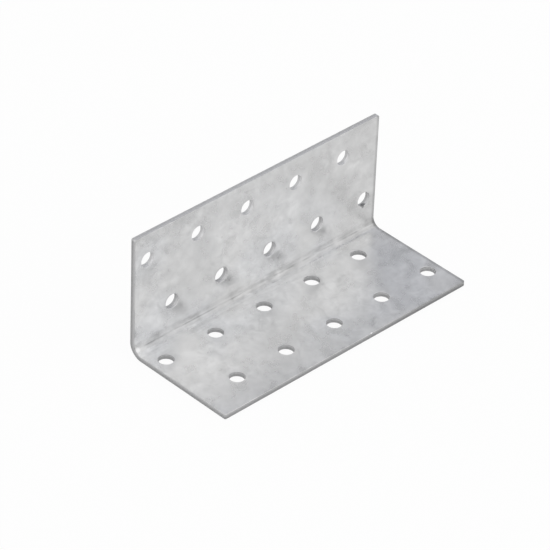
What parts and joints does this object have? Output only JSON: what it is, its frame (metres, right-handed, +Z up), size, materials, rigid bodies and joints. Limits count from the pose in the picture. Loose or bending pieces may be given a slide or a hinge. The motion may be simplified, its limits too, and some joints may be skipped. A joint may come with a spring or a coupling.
{
  "type": "angle bracket",
  "caption": "Folded sheet-steel angle bracket, galvanised, with staggered rows of nail holes in both legs, for joining two timber faces at a right angle.",
  "frame": {"origin": "on the underside, in the middle of the bracket's outline", "axes": "+X along the fold, +Y out of the back face of the upright leg, +Z up; the base leg reaches towards -Y"},
  "size_m": [0.1, 0.0414, 0.0424],
  "materials": {
    "galvanised_steel": "hot-dip galvanised sheet, dull grey and faintly mottled"
  },
  "bodies": {
    "root": {"bracket": "galvanised_steel"}
  },
  "joints": []
}
